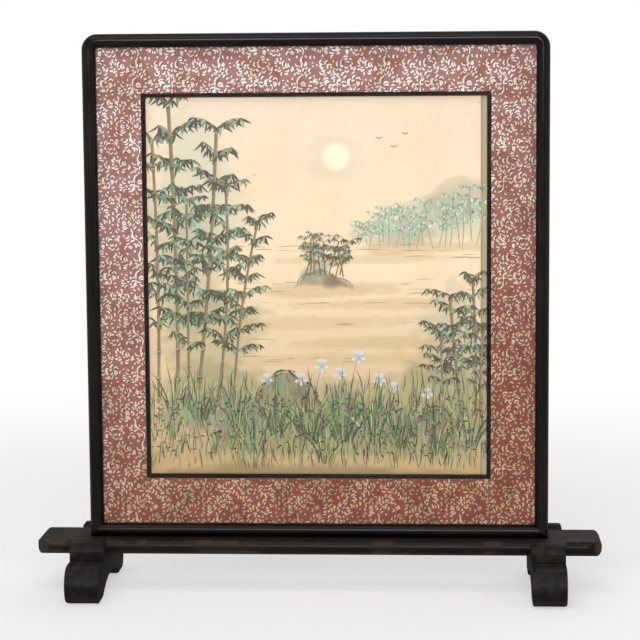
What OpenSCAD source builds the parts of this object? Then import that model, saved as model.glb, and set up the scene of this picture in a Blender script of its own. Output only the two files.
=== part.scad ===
// Tabletop standing screen: a framed picture board on a low stand.
// The panel is a mitred moulding round a pane, a cloth-covered mat, a beaded
// fillet and a square paper board. It lifts off two pins in the stand's crossbar.
// Millimetres. Z is up, the picture faces -Y, and the ground is z = 0.

/* [Crossbar] */
// Length of the crossbar
bar_len = 403; // [370:1:460]
// Depth of the crossbar, front to back
bar_depth = 46; // [42:0.5:60]
// Thickness of the crossbar
bar_t = 11; // [9:0.5:16]
// Height of the crossbar's underside over the ground
bar_clear = 29; // [27:0.5:45]
// Radius of the crossbar's corners, seen from above
bar_corner_r = 12; // [6:0.5:16]
// Radius of the crossbar's long edges
bar_edge_r = 5; // [2:0.25:5.4]
// Radius of the crossbar's end edges
bar_end_r = 5; // [1:0.25:5.4]

/* [Feet] */
// Distance between the centres of the two feet
foot_span = 326; // [280:1:334]
// Width of each foot
foot_w = 24; // [20:0.5:34]
// How far each toe stands out past the foot's upper block
toe_reach = 25.4; // [22:0.2:34]
// Height of the foot's base, whose toes are half round
toe_h = 26.8; // [22:0.2:27]
// Length of the upper block in front of and behind the crossbar
block_len = 12.5; // [10:0.5:20]
// Height of the front shoulder over the crossbar's top
shoulder_rise = 0.2; // [0:0.1:2]
// Radius of the front shoulder
shoulder_r = 15; // [14:0.5:20]
// Height of the rear knob over the crossbar's top
knob_rise = 2.5; // [1:0.25:6]
// Height of the arch under each foot
arch_h = 12.5; // [8:0.5:16]
// Length of the arch under each foot
arch_len = 86; // [60:1:88]
// Radius of the foot's rounded edges, seen from the front
foot_edge_r = 3.5; // [1:0.25:6]
// Radius of the groove between block and toe
quirk_r = 0.8; // [0.4:0.1:1.2]
// Gap on each side of the crossbar in its housing
housing_gap = 0.1; // [0.05:0.05:0.3]

/* [Foot screws] */
// Radius of the foot screw's shank
foot_screw_r = 1.75; // [1.25:0.25:2.5]
// Radius of the foot screw's head
foot_screw_head_r = 3.5; // [2.75:0.25:5]
// Depth of the foot screw's countersunk head
foot_screw_head_h = 2.2; // [1.5:0.1:3]
// How far the foot screw goes into the crossbar
foot_screw_bite = 7.5; // [5:0.5:8]
// Distance between the two screws of one foot
foot_screw_pitch = 28; // [20:1:34]
// Width of the cross recess in the foot screw's head
recess_w = 0.8; // [0.5:0.1:1.2]
// Depth of the cross recess in the foot screw's head
recess_d = 0.8; // [0.5:0.1:1.2]

/* [Locating pins] */
// Radius of the locating pin
pin_r = 2; // [1.5:0.25:2.5]
// How far the pin stands out of the crossbar
pin_up = 4.6; // [3:0.2:4.8]
// How far the pin is set into the crossbar
pin_down = 7; // [5:0.5:8]
// Distance between the two pins
pin_span = 240; // [160:1:270]
// Radial running gap of the pin in the bottom rail
pin_gap = 0.06; // [0.02:0.01:0.1]
// Chamfer on the pin's tip
pin_chamfer = 0.8; // [0.3:0.1:1.2]

/* [Picture board] */
// Width of the square paper board
board_w = 242; // [230:1:250]
// Height of the square paper board
board_h = 272; // [260:1:285]
// Thickness of the square paper board
board_t = 3; // [2:0.25:4]

/* [Fillet] */
// Width of the beaded fillet's face
fillet_face = 3; // [2.6:0.1:5]
// Radius of each bead of the fillet
bead_r = 0.7; // [0.5:0.05:0.8]
// Gap between the beads and the pane
bead_gap = 0.2; // [0.1:0.05:0.4]
// How far the fillet laps over the board at each side
lap_side = 1; // [0.5:0.1:2]
// How far the fillet laps over the board at top and bottom
lap_end = 1.75; // [0.5:0.1:2.5]

/* [Mat] */
// Width of the mat at each side
mat_side = 31; // [20:0.5:40]
// Width of the mat at top and bottom
mat_end = 32; // [20:0.5:40]
// Thickness of the mat board
mat_t = 3; // [2.6:0.1:4]
// Thickness of the cloth on the mat
cloth_t = 0.4; // [0.3:0.05:0.6]

/* [Moulding] */
// Width of the moulding's face
face_w = 9.5; // [9:0.25:14]
// Depth of the panel, front to back
panel_t = 22; // [21:0.5:28]
// Thickness of the moulding's front lip
lip_t = 6.5; // [5.5:0.25:7]
// How far the lip covers the pane's edge
lip_w = 3.5; // [2.5:0.25:3.75]
// Outer radius of the panel's top corners
corner_r = 11; // [10.5:0.25:16]
// How far the panel's front stands behind the crossbar's front edge
panel_setback = 8; // [5:0.5:14]
// Gap around the sheets inside the moulding
sheet_gap = 0.3; // [0.1:0.1:0.5]

/* [Corner nails] */
// Length of each leg of the V-shaped corner nail
nail_leg = 2.8; // [2:0.1:3.2]
// Thickness of the corner nail's steel
nail_t = 0.5; // [0.3:0.05:0.8]
// How deep the corner nail is driven in from the back
nail_depth = 7; // [5:0.5:10]
// Wood between the moulding's rebate and the corner nail
nail_inset = 0.5; // [0.3:0.05:0.6]
// Gap round the corner nail in its slit
nail_gap = 0.03; // [0.02:0.01:0.05]

/* [Pane and backing] */
// Thickness of the pane
pane_t = 2; // [1.5:0.25:3]
// Thickness of the packing card behind the board
packing_t = 3; // [2:0.25:4]
// Gap between the back board and the turn buttons
button_gap = 0.1; // [0.05:0.05:0.3]

/* [Turn buttons] */
// Length of a turn button from its screw to its tip
button_reach = 15; // [12:0.5:22]
// Width of a turn button
button_w = 5.6; // [4.6:0.1:5.8]
// Thickness of a turn button
button_t = 1; // [0.8:0.1:1.5]
// Distance between the two turn buttons of one stile
button_pitch = 190; // [120:1:240]
// Radius of the button screw's shank
button_screw_r = 1.2; // [1:0.1:1.5]
// Radius of the button screw's head
button_head_r = 2.3; // [2:0.1:2.6]
// Height of the button screw's head
button_head_h = 1.3; // [1:0.1:2]
// Radius of the flat on top of the button screw's head
button_crown_r = 1.8; // [1.2:0.1:2]
// Width of the slot in the button screw's head
slot_w = 0.6; // [0.4:0.1:0.8]
// Depth of the slot in the button screw's head
slot_d = 0.7; // [0.4:0.1:0.9]
// Length of the button screw inside the stile
button_screw_len = 8; // [6:0.5:10]
// Radial running gap of the turn button on its screw
button_run_gap = 0.08; // [0.03:0.01:0.1]

/* [Hidden] */
$fn = 64;
// Overrun of a cut past the face it opens
eps = 1;
// Radial gap of a screw or set pin in its hole
pilot_gap = 0.05;
// Room left at the bottom of a blind hole
blind_gap = 0.2;
// Least half height of the flat between two rounded edges
edge_flat = 0.1;

// Heights of the stand
bar_top = bar_clear + bar_t;
foot_x = foot_span / 2;
block_y = bar_depth / 2 + block_len;
toe_y = block_y + toe_reach;
toe_r = toe_h / 2;
knob_r = (block_len - housing_gap) / 2;

// Sizes of the panel, worked out from the board outwards
opening_w = board_w - 2 * lap_side;
opening_h = board_h - 2 * lap_end;
window_w = opening_w + 2 * fillet_face;
window_h = opening_h + 2 * fillet_face;
sight_w = window_w + 2 * mat_side;
sight_h = window_h + 2 * mat_end;
sheet_w = sight_w + 2 * (lip_w - sheet_gap);
sheet_h = sight_h + 2 * (lip_w - sheet_gap);
panel_h = sight_h + 2 * face_w;
panel_z = bar_top + panel_h / 2;
wall_u = (face_w + lip_w) / 2;
sight_r = corner_r - face_w;

// Depths of the panel's layers, from its front face
front_y = panel_setback - bar_depth / 2;
back_y = front_y + panel_t;
pane_y = front_y + lip_t;
cloth_y = pane_y + pane_t;
mat_y = cloth_y + cloth_t;
board_y = mat_y + mat_t;
packing_y = board_y + board_t;
back_board_y = packing_y + packing_t;
back_board_t = back_y - button_gap - back_board_y;
bead_y = cloth_y + bead_gap;
pin_y = front_y + panel_t / 2;

// Places of the turn buttons
button_x = sight_w / 2 + wall_u;
button_y = back_y + button_gap;

// Flat shapes

module round_rect(w, h, r) {
    square([w - 2 * r, h], center = true);
    square([w, h - 2 * r], center = true);
    for (x = [-1, 1], y = [-1, 1])
        translate([x * (w / 2 - r), y * (h / 2 - r)]) circle(r = r);
}

module window_sheet(w, h, hole_w, hole_h) {
    difference() {
        square([w, h], center = true);
        square([hole_w, hole_h], center = true);
    }
}

// Lays a flat (y, z) shape along X, centred
module along_x(len) {
    rotate([90, 0, 90]) linear_extrude(len, center = true) children();
}

// Lays a flat (x, z) shape along Y, from y0 backwards by len
module along_y(y0, len) {
    translate([0, y0 + len, 0]) rotate([90, 0, 0]) linear_extrude(len) children();
}

// Stand

module bar_body() {
    mid_z = bar_clear + bar_t / 2;
    most_r = bar_t / 2 - edge_flat;
    intersection() {
        translate([0, 0, mid_z]) along_x(bar_len)
            round_rect(bar_depth, bar_t, min(bar_edge_r, most_r));
        translate([0, 0, bar_clear]) linear_extrude(bar_t)
            round_rect(bar_len, bar_depth, bar_corner_r);
        translate([0, 0, mid_z]) along_y(-bar_depth / 2, bar_depth)
            round_rect(bar_len, bar_t, min(bar_end_r, most_r));
    }
}

module at_foot_screws() {
    for (x = [-1, 1], y = [-1, 1])
        translate([x * foot_x, y * foot_screw_pitch / 2, 0]) children();
}

module at_pins() {
    for (x = [-1, 1]) translate([x * pin_span / 2, pin_y, 0]) children();
}

// Foot screw with its head in the arch; grow widens it into its hole
module foot_screw(grow, bite) {
    translate([0, 0, arch_h]) cylinder(
        r1 = foot_screw_head_r + grow, r2 = foot_screw_r + grow, h = foot_screw_head_h);
    translate([0, 0, arch_h]) cylinder(r = foot_screw_r + grow, h = bar_clear - arch_h + bite);
}

module crossbar() {
    color("#2a221e") difference() {
        bar_body();
        at_foot_screws() foot_screw(pilot_gap, foot_screw_bite + blind_gap);
        at_pins() translate([0, 0, bar_top - pin_down])
            cylinder(r = pin_r + pilot_gap, h = pin_down + eps);
    }
}

// Base of the foot, from the tip of one half-round toe to the other
module base_2d() {
    for (y = [-1, 1]) translate([y * (toe_y - toe_r), toe_r]) circle(r = toe_r);
    translate([toe_r - toe_y, 0]) square([2 * (toe_y - toe_r), toe_h]);
}

// Arc that falls from the crossbar's front edge to the block's face
module shoulder_2d() {
    intersection() {
        translate([-bar_depth / 2, bar_top + shoulder_rise - shoulder_r]) circle(r = shoulder_r);
        translate([-block_y, 0]) square([block_len, bar_top + shoulder_rise]);
    }
}

module knob_2d() {
    knob_z = bar_top + knob_rise - knob_r;
    translate([block_y - knob_r, knob_z]) circle(r = knob_r);
    translate([block_y - 2 * knob_r, 0]) square([2 * knob_r, knob_z]);
}

// A shallow arch: one arc that meets the ground at both ends
module arch_2d() {
    arch_r = (arch_len * arch_len / 4 + arch_h * arch_h) / (2 * arch_h);
    translate([0, arch_h - arch_r]) circle(r = arch_r, $fn = 128);
}

module foot_2d() {
    shoulder_foot = bar_top + shoulder_rise - shoulder_r;
    difference() {
        union() {
            base_2d();
            shoulder_2d();
            translate([-block_y, 0]) square([block_len, shoulder_foot]);
            knob_2d();
            translate([-block_y, 0]) square([2 * block_y, bar_clear]);
        }
        arch_2d();
        translate([-bar_depth / 2 - housing_gap, bar_clear])
            square([bar_depth + 2 * housing_gap, bar_t + knob_rise + eps]);
        for (y = [-1, 1]) translate([y * block_y, toe_h]) circle(r = quirk_r, $fn = 24);
    }
}

module foot() {
    foot_h = bar_top + knob_rise;
    difference() {
        intersection() {
            along_x(foot_w) foot_2d();
            translate([0, 0, foot_h / 2]) along_y(-toe_y, 2 * toe_y)
                round_rect(foot_w, foot_h, foot_edge_r);
        }
        for (y = [-1, 1]) translate([0, y * foot_screw_pitch / 2, 0]) {
            foot_screw(pilot_gap, eps);
            cylinder(r = foot_screw_head_r + pilot_gap, h = arch_h);
        }
    }
}

module left_foot() {
    color("#211a17") translate([-foot_x, 0, 0]) foot();
}

module right_foot() {
    color("#211a17") translate([foot_x, 0, 0]) foot();
}

module foot_screws() {
    color("silver") at_foot_screws() difference() {
        foot_screw(0, foot_screw_bite);
        for (a = [0, 90]) rotate([0, 0, a]) translate([0, 0, arch_h])
            cube([foot_screw_head_r, recess_w, 2 * recess_d], center = true);
    }
}

module locating_pins() {
    tip_z = pin_down + pin_up - pin_chamfer;
    color("goldenrod") at_pins() translate([0, 0, bar_top - pin_down]) {
        cylinder(r = pin_r, h = tip_z);
        translate([0, 0, tip_z])
            cylinder(r1 = pin_r, r2 = pin_r - pin_chamfer, h = pin_chamfer);
    }
}

// Panel frame

// Moulding section: x runs outwards from the sight edge, y back from the front
module moulding_2d() {
    nose_r = face_w / 2;
    difference() {
        union() {
            translate([nose_r, nose_r]) circle(r = nose_r);
            translate([0, nose_r]) square([face_w, panel_t - nose_r]);
        }
        translate([-eps, lip_t]) square([lip_w + eps, panel_t]);
    }
}

// Rounded top corner at the right: the lower half is the stile's, the upper the rail's
module corner_half(upper) {
    translate([sight_w / 2 - sight_r, front_y, panel_z + sight_h / 2 - sight_r])
        rotate([-90, 0, 0]) rotate([0, 0, upper ? -90 : 0]) mirror([0, upper ? 0 : 1, 0])
            rotate_extrude(angle = 45) translate([sight_r, 0]) moulding_2d();
}

// Wedges that mitre the bottom corners; the point is the sight corner
module mitre_wedge(under) {
    reach = face_w + eps;
    side = under ? [0, -reach] : [reach, 0];
    translate([sight_w / 2, 0, panel_z - sight_h / 2]) along_y(front_y - eps, panel_t + 2 * eps)
        polygon([[-eps, eps], [reach, -reach], side + [under ? -eps : 0, under ? 0 : eps]]);
}

// A nail with one leg in the rail and one in the stile; grow widens it into its slit
module corner_nail(grow) {
    along_y(back_y - nail_depth - grow, nail_depth + (grow > 0 ? grow + eps : 0))
        translate([-nail_t / 2 - grow, -nail_t / 2 - grow]) {
            square([nail_leg + 2 * grow, nail_t + 2 * grow]);
            square([nail_t + 2 * grow, nail_leg + 2 * grow]);
        }
}

// The nails' points stand near the rebate's corners, on the lines of the mitres
module all_corner_nails(grow) {
    point_u = lip_w + nail_inset + nail_t / 2;
    for (quarter = [0:3]) {
        x_side = quarter == 0 || quarter == 1 ? 1 : -1;
        z_side = quarter == 0 || quarter == 3 ? 1 : -1;
        translate([x_side * (sight_w / 2 + point_u), 0, panel_z + z_side * (sight_h / 2 + point_u)])
            rotate([0, 90 * quarter, 0]) corner_nail(grow);
    }
}

// Square rebate behind the lip, which the sheets lie in
module rebate() {
    translate([0, 0, panel_z]) along_y(pane_y, panel_t)
        square([sight_w + 2 * lip_w, sight_h + 2 * lip_w], center = true);
}

module button_pilots() {
    for (x = [-1, 1], z = [-1, 1])
        translate([x * button_x, back_y, panel_z + z * button_pitch / 2]) rotate([90, 0, 0])
            translate([0, 0, -eps]) cylinder(
                r = button_screw_r + pilot_gap, h = button_screw_len + blind_gap + eps);
}

module top_rail() {
    straight = sight_w - 2 * sight_r;
    color("#1b1718") difference() {
        union() {
            translate([0, front_y, panel_z + sight_h / 2]) rotate([0, -90, 0])
                linear_extrude(straight, center = true) moulding_2d();
            corner_half(true);
            mirror([1, 0, 0]) corner_half(true);
        }
        rebate();
        all_corner_nails(nail_gap);
    }
}

module bottom_rail() {
    color("#1b1718") difference() {
        translate([0, front_y, panel_z - sight_h / 2]) rotate([0, 90, 0])
            linear_extrude(sight_w + 2 * face_w, center = true) moulding_2d();
        mitre_wedge(false);
        mirror([1, 0, 0]) mitre_wedge(false);
        all_corner_nails(nail_gap);
        at_pins() translate([0, 0, bar_top - eps])
            cylinder(r = pin_r + pin_gap, h = pin_up + blind_gap + eps);
    }
}

module stile() {
    bottom_z = panel_z - panel_h / 2;
    difference() {
        union() {
            translate([sight_w / 2, front_y, bottom_z])
                linear_extrude(panel_h - face_w - sight_r) moulding_2d();
            corner_half(false);
        }
        rebate();
        mitre_wedge(true);
        all_corner_nails(nail_gap);
        button_pilots();
    }
}

module right_stile() {
    color("#1b1718") stile();
}

module left_stile() {
    color("#1b1718") mirror([1, 0, 0]) stile();
}

module corner_nails() {
    color("silver") all_corner_nails(0);
}

// Sheets inside the frame, from front to back

module pane() {
    color([0.85, 0.92, 0.92, 0.3]) translate([0, 0, panel_z])
        along_y(pane_y, pane_t) square([sheet_w, sheet_h], center = true);
}

module brocade_cover() {
    color("#a2666b") translate([0, 0, panel_z])
        along_y(cloth_y, cloth_t) window_sheet(sheet_w, sheet_h, window_w, window_h);
}

module mat_board() {
    color("#e8e2d4") translate([0, 0, panel_z])
        along_y(mat_y, mat_t) window_sheet(sheet_w, sheet_h, window_w, window_h);
}

// Fillet section: x runs outwards from the opening, y back from the beads
module fillet_2d() {
    for (x = [bead_r, fillet_face - bead_r]) translate([x, bead_r]) circle(r = bead_r, $fn = 24);
    translate([0, bead_r]) square([fillet_face, board_y - bead_y - bead_r]);
}

// Trims a strip to 45 degree ends: half is half its length at the opening's edge
module fillet_ends(half) {
    polygon([[-half, 0], [half, 0], [half + fillet_face, fillet_face],
        [-half - fillet_face, fillet_face]]);
}

module fillet_strip(half) {
    intersection() {
        translate([0, bead_y, 0]) rotate([0, -90, 0])
            linear_extrude(2 * (half + fillet_face), center = true) fillet_2d();
        along_y(cloth_y, mat_t + cloth_t) fillet_ends(half);
    }
}

module fillet_top() {
    color("#2b1a1c") translate([0, 0, panel_z + opening_h / 2]) fillet_strip(opening_w / 2);
}

module fillet_bottom() {
    color("#2b1a1c") translate([0, 0, panel_z - opening_h / 2])
        mirror([0, 0, 1]) fillet_strip(opening_w / 2);
}

module fillet_right() {
    color("#2b1a1c") translate([opening_w / 2, 0, panel_z])
        rotate([0, 90, 0]) fillet_strip(opening_h / 2);
}

module fillet_left() {
    color("#2b1a1c") mirror([1, 0, 0]) translate([opening_w / 2, 0, panel_z])
        rotate([0, 90, 0]) fillet_strip(opening_h / 2);
}

module picture_board() {
    color("#d8c39a") translate([0, 0, panel_z])
        along_y(board_y, board_t) square([board_w, board_h], center = true);
}

module spacer_frame() {
    color("#b79f78") translate([0, 0, panel_z]) along_y(board_y, board_t)
        window_sheet(sheet_w, sheet_h, board_w + 2 * sheet_gap, board_h + 2 * sheet_gap);
}

module packing_card() {
    color("#b08d5b") translate([0, 0, panel_z])
        along_y(packing_y, packing_t) square([sheet_w, sheet_h], center = true);
}

module back_board() {
    color("#8b6a45") translate([0, 0, panel_z])
        along_y(back_board_y, back_board_t) square([sheet_w, sheet_h], center = true);
}

// Turn buttons that hold the back board in

module turn_button(side, level) {
    end_r = button_w / 2;
    color("#b9a36a") translate([side * button_x, 0, panel_z + level * button_pitch / 2])
        difference() {
            along_y(button_y, button_t) {
                circle(r = end_r);
                translate([-side * (button_reach - end_r), 0]) circle(r = end_r);
                translate([-side * (button_reach - end_r) / 2, 0])
                    square([button_reach - end_r, button_w], center = true);
            }
            translate([0, button_y - eps, 0]) rotate([-90, 0, 0])
                cylinder(r = button_screw_r + button_run_gap, h = button_t + 2 * eps);
        }
}

module turn_button_upper_left() {
    turn_button(-1, 1);
}

module turn_button_lower_left() {
    turn_button(-1, -1);
}

module turn_button_upper_right() {
    turn_button(1, 1);
}

module turn_button_lower_right() {
    turn_button(1, -1);
}

// Screw that a turn button swings on, with a slotted head
module button_screw() {
    head_y = button_y + button_t + button_gap;
    rotate([-90, 0, 0]) difference() {
        union() {
            translate([0, 0, back_y - button_screw_len])
                cylinder(r = button_screw_r, h = head_y - back_y + button_screw_len);
            translate([0, 0, head_y])
                cylinder(r1 = button_head_r, r2 = button_crown_r, h = button_head_h);
        }
        translate([0, 0, head_y + button_head_h])
            cube([2 * button_head_r + eps, slot_w, 2 * slot_d], center = true);
    }
}

module turn_button_screws() {
    color("silver") for (x = [-1, 1], z = [-1, 1])
        translate([x * button_x, 0, panel_z + z * button_pitch / 2]) button_screw();
}

crossbar();
left_foot();
right_foot();
foot_screws();
locating_pins();
top_rail();
bottom_rail();
left_stile();
right_stile();
corner_nails();
pane();
brocade_cover();
mat_board();
fillet_top();
fillet_bottom();
fillet_left();
fillet_right();
picture_board();
spacer_frame();
packing_card();
back_board();
turn_button_upper_left();
turn_button_lower_left();
turn_button_upper_right();
turn_button_lower_right();
turn_button_screws();
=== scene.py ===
import random
from math import atan2, ceil, copysign, cos, floor, log, pi, sin, sqrt, tau

import bmesh
import bpy
import numpy as np
from mathutils import Matrix, Vector, noise


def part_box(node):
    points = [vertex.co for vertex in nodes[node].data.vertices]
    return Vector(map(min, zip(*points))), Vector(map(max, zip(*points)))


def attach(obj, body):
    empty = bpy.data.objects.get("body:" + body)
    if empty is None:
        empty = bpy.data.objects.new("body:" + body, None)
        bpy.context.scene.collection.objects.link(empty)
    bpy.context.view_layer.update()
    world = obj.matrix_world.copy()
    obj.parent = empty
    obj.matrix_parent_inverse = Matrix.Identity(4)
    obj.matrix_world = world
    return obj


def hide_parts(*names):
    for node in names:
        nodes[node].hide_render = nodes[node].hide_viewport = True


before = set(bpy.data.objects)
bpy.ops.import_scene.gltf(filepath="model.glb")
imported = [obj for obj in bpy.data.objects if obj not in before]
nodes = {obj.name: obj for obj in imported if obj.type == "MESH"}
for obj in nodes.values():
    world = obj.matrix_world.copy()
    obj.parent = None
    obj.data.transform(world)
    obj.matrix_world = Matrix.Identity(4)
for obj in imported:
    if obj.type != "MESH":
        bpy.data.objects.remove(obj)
scene = bpy.context.scene
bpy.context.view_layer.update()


# The camera stands where the photograph was taken from: a metre and a half in front of
# the screen, a little right of its middle and level with the upper part of the panel.
photo_pixels = 640
focal_pixels = 2187.4
sensor_width = 36
viewpoint = Vector((0.0915, -1.5417, 0.3762))
view_yaw = -0.0581
view_pitch = 0.1169
view_roll = -0.0073


def camera_turn(yaw, pitch, roll):
    """The turn of a camera that looks along +Y, then sideways, then down, then tips over."""
    forward = Vector((sin(yaw) * cos(pitch), cos(yaw) * cos(pitch), -sin(pitch)))
    level = Vector((cos(yaw), -sin(yaw), 0))
    upright = level.cross(forward)
    right = level * cos(roll) + upright * sin(roll)
    up = upright * cos(roll) - level * sin(roll)
    return Matrix((right, up, -forward)).transposed().to_4x4()


camera = bpy.data.objects.new("camera", bpy.data.cameras.new("camera"))
camera.data.sensor_width = sensor_width
camera.data.lens = focal_pixels / photo_pixels * sensor_width
camera.matrix_world = Matrix.Translation(viewpoint) @ camera_turn(view_yaw, view_pitch, view_roll)
scene.collection.objects.link(camera)
scene.camera = camera
scene.view_settings.view_transform = "Standard"


# The studio: a pale floor that fades to white away from the screen, a white surround, and
# five soft lamps. The window light behind the camera draws the bright line along each rail.
floor_reach = 4
floor_colour = (0.86, 0.85, 0.84, 1)
white = (1, 1, 1, 1)
surround_light = 0.28
shadow_start = 0.35
shadow_end = 1.1
floor_glow = 0.5


def add(tree, kind, inputs=None, **settings):
    """A shader node with these settings. Each input is given a value or joined to a socket."""
    made = tree.nodes.new("ShaderNode" + kind)
    for name, value in settings.items():
        setattr(made, name, value)
    for name, value in (inputs or {}).items():
        socket = made.inputs[name]
        if isinstance(value, bpy.types.NodeSocket):
            tree.links.new(value, socket)
        else:
            socket.default_value = value
    return made


def reckon(tree, operation, first, second=0):
    """One Math node on two values or sockets."""
    return add(tree, "Math", {0: first, 1: second}, operation=operation).outputs[0]


def fade(tree, value, low, high, start=0, end=1):
    """A smooth change from start to end as value goes from low to high."""
    made = add(tree, "MapRange", {"Value": value, "From Min": low, "From Max": high,
                                  "To Min": start, "To Max": end}, interpolation_type="SMOOTHSTEP")
    return made.outputs[0]


def object_place(tree):
    """Where each point lies on its object, in metres."""
    return add(tree, "TexCoord").outputs["Object"]


def seen_by_eye(tree):
    """1 for a ray of the camera, straight, through the pane or off gloss, and 0 for any other."""
    rays = add(tree, "LightPath").outputs
    through = reckon(tree, "MAXIMUM", rays["Is Camera Ray"], rays["Is Transmission Ray"])
    return reckon(tree, "MAXIMUM", through, rays["Is Glossy Ray"])


def into_mesh(name, shape):
    """Turns a bmesh into a mesh, and frees it."""
    mesh = bpy.data.meshes.new(name)
    shape.to_mesh(mesh)
    shape.free()
    return mesh


def make_object(name, shape, materials):
    """Turns a bmesh into an object at the origin, with its materials."""
    mesh = into_mesh(name, shape)
    for material in materials:
        mesh.materials.append(material)
    made = bpy.data.objects.new(name, mesh)
    scene.collection.objects.link(made)
    return made


def floor_paper():
    material = bpy.data.materials.new("floor_paper")
    material.use_nodes = True
    tree = material.node_tree
    tree.nodes.clear()
    matt = add(tree, "BsdfDiffuse", {"Color": floor_colour})
    glow = add(tree, "Emission", {"Color": white, "Strength": 1})
    distance = add(tree, "VectorMath", {0: object_place(tree)}, operation="LENGTH").outputs["Value"]
    away = fade(tree, distance, shadow_start, shadow_end, floor_glow)
    share = reckon(tree, "MULTIPLY", away, seen_by_eye(tree))
    mixed = add(tree, "MixShader", {0: share, 1: matt.outputs[0], 2: glow.outputs[0]})
    add(tree, "OutputMaterial", {"Surface": mixed.outputs[0]})
    return material


surround = bpy.data.worlds.new("studio_surround")
surround.use_nodes = True
tree = surround.node_tree
tree.nodes.clear()
lit, shown = [add(tree, "Background", {"Color": white, "Strength": strength}).outputs[0]
              for strength in (surround_light, 1)]
mixed = add(tree, "MixShader", {0: seen_by_eye(tree), 1: lit, 2: shown})
add(tree, "OutputWorld", {"Surface": mixed.outputs[0]})
scene.world = surround
floor_shape = bmesh.new()
bmesh.ops.create_grid(floor_shape, x_segments=1, y_segments=1, size=floor_reach)
make_object("studio_floor", floor_shape, [floor_paper()])
for name, place, aim_height, width, height, watts in (
        ("overhead_softbox", (-0.2, -0.9, 1.7), 0.25, 1.6, 1, 12),
        ("window_light", (0, -1.7, 0.67), 0.25, 0.9, 0.48, 19.5),
        ("left_softbox", (-1.3, -1, 0.45), 0.2, 0.4, 0.9, 1.5),
        ("right_softbox", (1.35, -0.6, 0.45), 0.2, 0.4, 0.9, 1.5),
        ("back_softbox", (0.3, 1.5, 0.8), 0.2, 1.6, 1, 12)):
    lamp = bpy.data.objects.new(name, bpy.data.lights.new(name, "AREA"))
    lamp.data.shape = "RECTANGLE"
    lamp.data.size = width
    lamp.data.size_y = height
    lamp.data.energy = watts
    turn = (Vector((0, 0, aim_height)) - Vector(place)).to_track_quat("-Z", "Y")
    lamp.matrix_world = Matrix.Translation(Vector(place)) @ turn.to_matrix().to_4x4()
    scene.collection.objects.link(lamp)


# The stand: a plank-like crossbar housed on two carved feet, hard wood under a thin satin
# lacquer of brown black, screwed from below. Handling has rubbed its edges paler. A coat is
# three colours: the lacquer's in its hollows, over its grain, and where it is rubbed.
bar_coat = ((0.0042, 0.002, 0.0011, 1), (0.016, 0.0095, 0.0056, 1), (0.085, 0.054, 0.036, 1))
foot_coat = ((0.0036, 0.0023, 0.0017, 1), (0.014, 0.0118, 0.01, 1), (0.085, 0.054, 0.036, 1))
dust_colour = (0.3, 0.27, 0.23, 1)
pore_depth = 0.0004
grain_along_x = (6, 90, 90)
grain_along_y = (90, 6, 90)
grain_along_z = (90, 90, 6)


def start_group(name, **inputs):
    """A shader node group for a surface. Its inputs are named by their kind of socket."""
    tree = bpy.data.node_groups.new(name, "ShaderNodeTree")
    for kind, labels in inputs.items():
        for label in labels:
            tree.interface.new_socket(name=label, in_out="INPUT", socket_type="NodeSocket" + kind)
    for label, kind in (("Color", "Color"), ("Roughness", "Float"), ("Height", "Float")):
        tree.interface.new_socket(name=label, in_out="OUTPUT", socket_type="NodeSocket" + kind)
    return tree, tree.nodes.new("NodeGroupInput").outputs, tree.nodes.new("NodeGroupOutput").inputs


def give(tree, sockets, *values):
    """Joins values to the sockets, in their order."""
    for socket, value in zip(sockets, values):
        tree.links.new(value, socket)


def blend(tree, share, first, second, mode="MIX"):
    """The first colour, turned into the second by share. Each is a colour or a socket."""
    mixed = add(tree, "Mix", {0: share, 6: first, 7: second}, data_type="RGBA", blend_type=mode)
    return mixed.outputs[2]


def times(tree, first, second):
    return reckon(tree, "MULTIPLY", first, second)


def plus(tree, first, second):
    return reckon(tree, "ADD", first, second)


def stretch(tree, place, by):
    """A place or direction with each of its parts multiplied by that of another."""
    return add(tree, "VectorMath", {0: place, 1: by}, operation="MULTIPLY").outputs[0]


def mottle(tree, scale, detail, roughness=0.5, distortion=0, place=None):
    """Cloudy noise from 0 to 1."""
    return add(tree, "TexNoise", {"Vector": place or object_place(tree), "Scale": scale, "Detail": detail,
                                  "Roughness": roughness, "Distortion": distortion}).outputs[0]


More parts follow.
